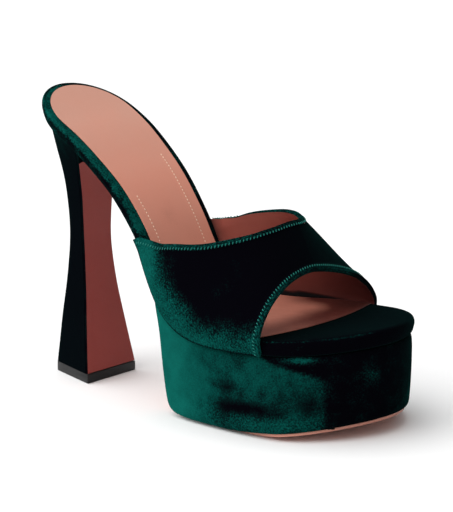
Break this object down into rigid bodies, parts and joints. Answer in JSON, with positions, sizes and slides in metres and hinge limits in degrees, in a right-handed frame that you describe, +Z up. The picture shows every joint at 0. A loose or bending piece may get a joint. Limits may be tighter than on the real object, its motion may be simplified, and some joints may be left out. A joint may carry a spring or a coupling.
{
  "type": "platform mule",
  "caption": "Open-toe velvet platform mule for the right foot, with an arched vamp, leather insole and a tall heel that is slim in the middle and flares at its base.",
  "frame": {"origin": "middle of the shoe's bounding box on the floor that its toplift and outsole stand on", "axes": "+Z up, -Y towards the toe, +Y towards the heel, -X towards the outer side of the right foot"},
  "size_m": [0.0987, 0.202, 0.1439],
  "materials": {
    "velvet": "dark green velvet with a short nap",
    "sock_leather": "smooth matt leather",
    "sole_leather": "smooth leather with cut edges",
    "breast_leather": "smooth leather",
    "toplift_rubber": "hard smooth rubber"
  },
  "bodies": {
    "root": {"footbed": "velvet", "platform": "velvet", "upper_vamp": "velvet", "heel_block": "velvet", "insole_sock": "sock_leather", "outsole": "sole_leather", "heel_breast": "breast_leather", "toplift": "toplift_rubber"}
  },
  "joints": []
}
